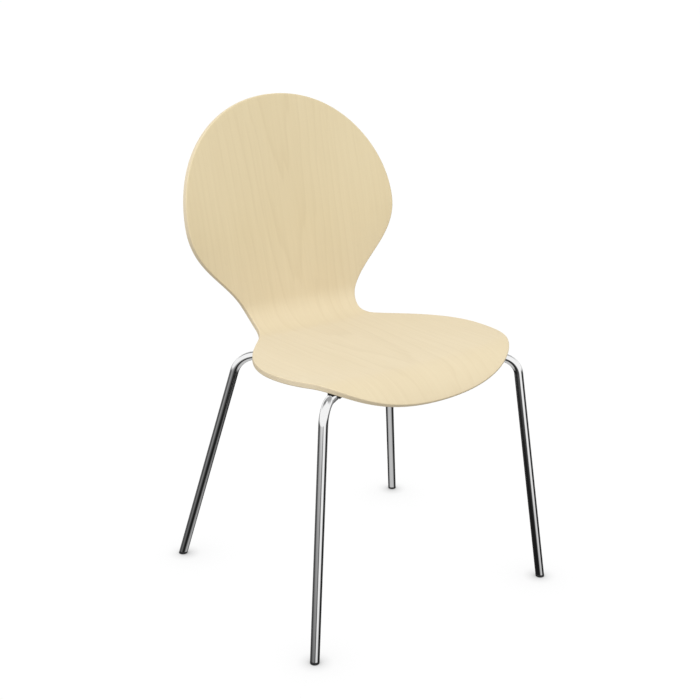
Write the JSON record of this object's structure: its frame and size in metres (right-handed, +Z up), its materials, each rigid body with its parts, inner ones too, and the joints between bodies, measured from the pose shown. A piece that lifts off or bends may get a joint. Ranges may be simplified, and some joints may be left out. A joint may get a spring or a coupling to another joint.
{
  "type": "stacking chair",
  "caption": "Stacking chair: a one-piece moulded plywood seat and round back with a narrow neck, on slim bent chromed tube legs with plastic glides.",
  "frame": {"origin": "on the floor, below the middle of the overall width and depth", "axes": "+Z up, the sitter faces -Y, the sitter's left is +X"},
  "size_m": [0.522, 0.5315, 0.8559],
  "materials": {
    "veneer": "clear satin lacquer over a pale maple veneer with a faint arched figure",
    "cross_ply": "lacquered end grain of a cross ply",
    "core_ply": "lacquered ply edges",
    "pad_plywood": "bare sanded plywood",
    "chrome_tube": "bright chromium plating",
    "plate_steel": "bare rolled steel, its welds left as laid",
    "zinc_steel": "zinc plating",
    "cap_plastic": "fine-grained black moulding",
    "buffer_rubber": "matt black rubber",
    "glide_plastic": "black moulded plastic"
  },
  "bodies": {
    "root": {"face_veneer": "veneer", "upper_cross_ply": "cross_ply", "core_plies": "core_ply", "lower_cross_ply": "cross_ply", "reverse_veneer": "veneer", "mounting_pad": "pad_plywood", "threaded_inserts": "zinc_steel", "mounting_plate": "plate_steel", "weld_beads": "plate_steel", "washers": "zinc_steel", "machine_screws": "zinc_steel", "front_leg_frame": "chrome_tube", "rear_leg_frame": "chrome_tube", "cover_cap": "cap_plastic", "front_left_buffer": "buffer_rubber", "front_right_buffer": "buffer_rubber", "rear_left_buffer": "buffer_rubber", "rear_right_buffer": "buffer_rubber", "front_left_glide": "glide_plastic", "front_right_glide": "glide_plastic", "rear_left_glide": "glide_plastic", "rear_right_glide": "glide_plastic"}
  },
  "joints": []
}
